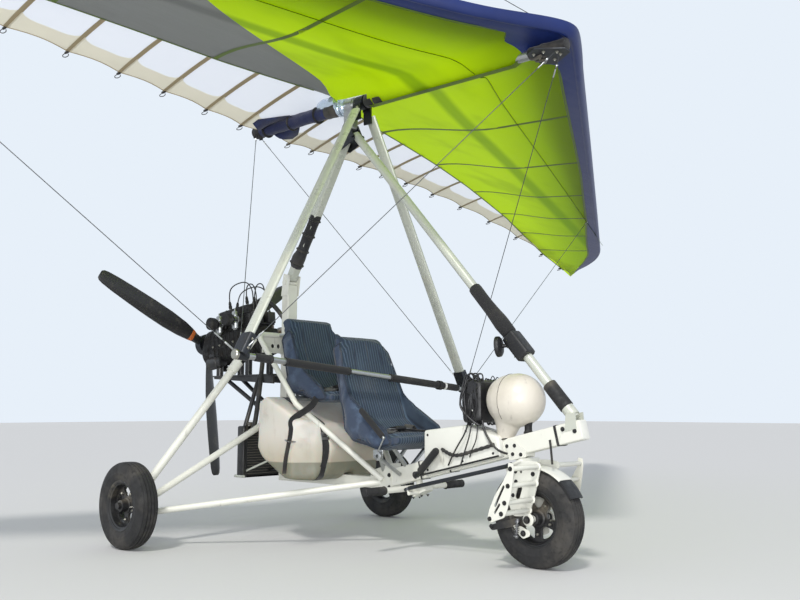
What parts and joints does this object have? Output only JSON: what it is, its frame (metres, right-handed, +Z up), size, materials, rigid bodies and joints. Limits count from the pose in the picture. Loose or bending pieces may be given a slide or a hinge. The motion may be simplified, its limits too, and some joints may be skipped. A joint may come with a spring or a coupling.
{
  "type": "microlight trike",
  "caption": "Open flex-wing microlight: trike with tandem bucket seats, pusher engine and propeller, steered nose wheel, mast and swept wing on a tilting hang block.",
  "frame": {"origin": "on the floor under the centre of the outline's box", "axes": "+X forward to the nose wheel, +Y to the left along the wing, +Z up"},
  "size_m": [3.1239, 9.8776, 3.3262],
  "materials": {
    "white_paint": "gloss",
    "black_tyre": "matt",
    "black_rim": "satin",
    "bare_aluminium": "satin",
    "steel": "satin",
    "black_foam": "matt",
    "black_plastic": "satin",
    "white_panel": "gloss",
    "pod_gelcoat": "gloss",
    "seat_cloth": "woven",
    "tank_plastic": "satin",
    "strap_web": "woven",
    "engine_alloy": "cast",
    "exhaust_steel": "heat dulled",
    "blade_composite": "satin",
    "sail_cloth": "taut",
    "pocket_cloth": "taut",
    "wire": "stranded"
  },
  "bodies": {
    "trike": {"rear_knuckles": "white_paint", "beam": "white_paint", "rear_keel_box": "white_paint", "upper_mast": "white_paint", "lower_mast": "white_paint", "mast_head": "bare_aluminium", "front_strut": "white_paint", "foam_covers": "black_foam", "mirror_clamp": "black_plastic", "gear_struts": "white_paint", "axle_struts": "white_paint", "drag_struts": "white_paint", "seat_frame": "white_paint", "fuel_tank": "tank_plastic", "tank_straps": "strap_web", "front_seat": "seat_cloth", "rear_seat": "seat_cloth", "seat_mount": "white_paint", "instrument_pod": "pod_gelcoat", "instrument_panel": "black_plastic", "console": "white_panel", "hand_lever": "black_foam", "steering_head": "white_paint", "engine": "engine_alloy", "gearbox": "engine_alloy", "silencer": "exhaust_steel", "air_intake": "black_plastic", "engine_mount": "white_paint", "radiator": "black_plastic"},
    "wheel_rear_left": {"rear_rim_left": "black_rim", "rear_tyre_left": "black_tyre"},
    "wheel_rear_right": {"rear_rim_right": "black_rim", "rear_tyre_right": "black_tyre"},
    "fork": {"nose_fork": "white_paint", "foot_pegs": "white_paint", "mudguard": "black_plastic"},
    "wheel_nose": {"nose_rim": "black_rim", "nose_tyre": "black_tyre"},
    "foot_bar": {"rear_foot_bar": "white_paint", "foot_grips": "black_foam"},
    "steering_link": {"steering_rod": "steel"},
    "propeller": {"propeller_hub": "bare_aluminium", "propeller_blades": "blade_composite"},
    "hang": {"hang_block": "bare_aluminium"},
    "wing": {"keel_tube": "bare_aluminium", "sail": "sail_cloth", "kingpost": "bare_aluminium", "uprights": "white_paint", "base_bar": "white_paint", "bar_grips": "black_foam", "wing_fittings": "steel", "rigging": "wire", "keel_pocket": "pocket_cloth"}
  },
  "joints": [
    {"name": "rear_left_spin", "type": "hinge", "parent": "trike", "child": "wheel_rear_left", "pos_m": [-0.4, 0.897, 0.205], "axis": [0, 1, 0], "continuous": true},
    {"name": "rear_right_spin", "type": "hinge", "parent": "trike", "child": "wheel_rear_right", "pos_m": [-0.4, -0.897, 0.205], "axis": [0, 1, 0], "continuous": true},
    {"name": "steer", "type": "hinge", "parent": "trike", "child": "fork", "pos_m": [1.255, 0, 0.43805], "axis": [-0.4226, 0, 0.9063], "range_deg": [-25, 25]},
    {"name": "nose_spin", "type": "hinge", "parent": "fork", "child": "wheel_nose", "pos_m": [1.337, 0, 0.205], "axis": [0, 1, 0], "continuous": true},
    {"name": "foot_bar_turn", "type": "hinge", "parent": "trike", "child": "foot_bar", "pos_m": [0.675, 0, 0.30307], "axis": [-0.4226, 0, 0.9063], "range_deg": [-25, 25]},
    {"name": "link_turn", "type": "hinge", "parent": "foot_bar", "child": "steering_link", "pos_m": [0.68852, -0.1, 0.27407], "axis": [-0.4226, 0, 0.9063], "range_deg": [-25, 25]},
    {"name": "propeller_spin", "type": "hinge", "parent": "trike", "child": "propeller", "pos_m": [-1.074, 0, 1.052], "axis": [0.9925, 0, 0.1219], "continuous": true},
    {"name": "wing_pitch", "type": "hinge", "parent": "trike", "child": "hang", "pos_m": [0.185, 0, 2.155], "axis": [0, 1, 0], "range_deg": [-26, 0]},
    {"name": "wing_roll", "type": "hinge", "parent": "hang", "child": "wing", "pos_m": [0.18801, 0, 2.26996], "axis": [0.9997, 0, -0.0262], "range_deg": [-5.5, 14.5]}
  ],
  "couplings": [
    {"joint": "foot_bar_turn", "follows": "steer", "ratio": 1},
    {"joint": "link_turn", "follows": "steer", "ratio": -1}
  ]
}
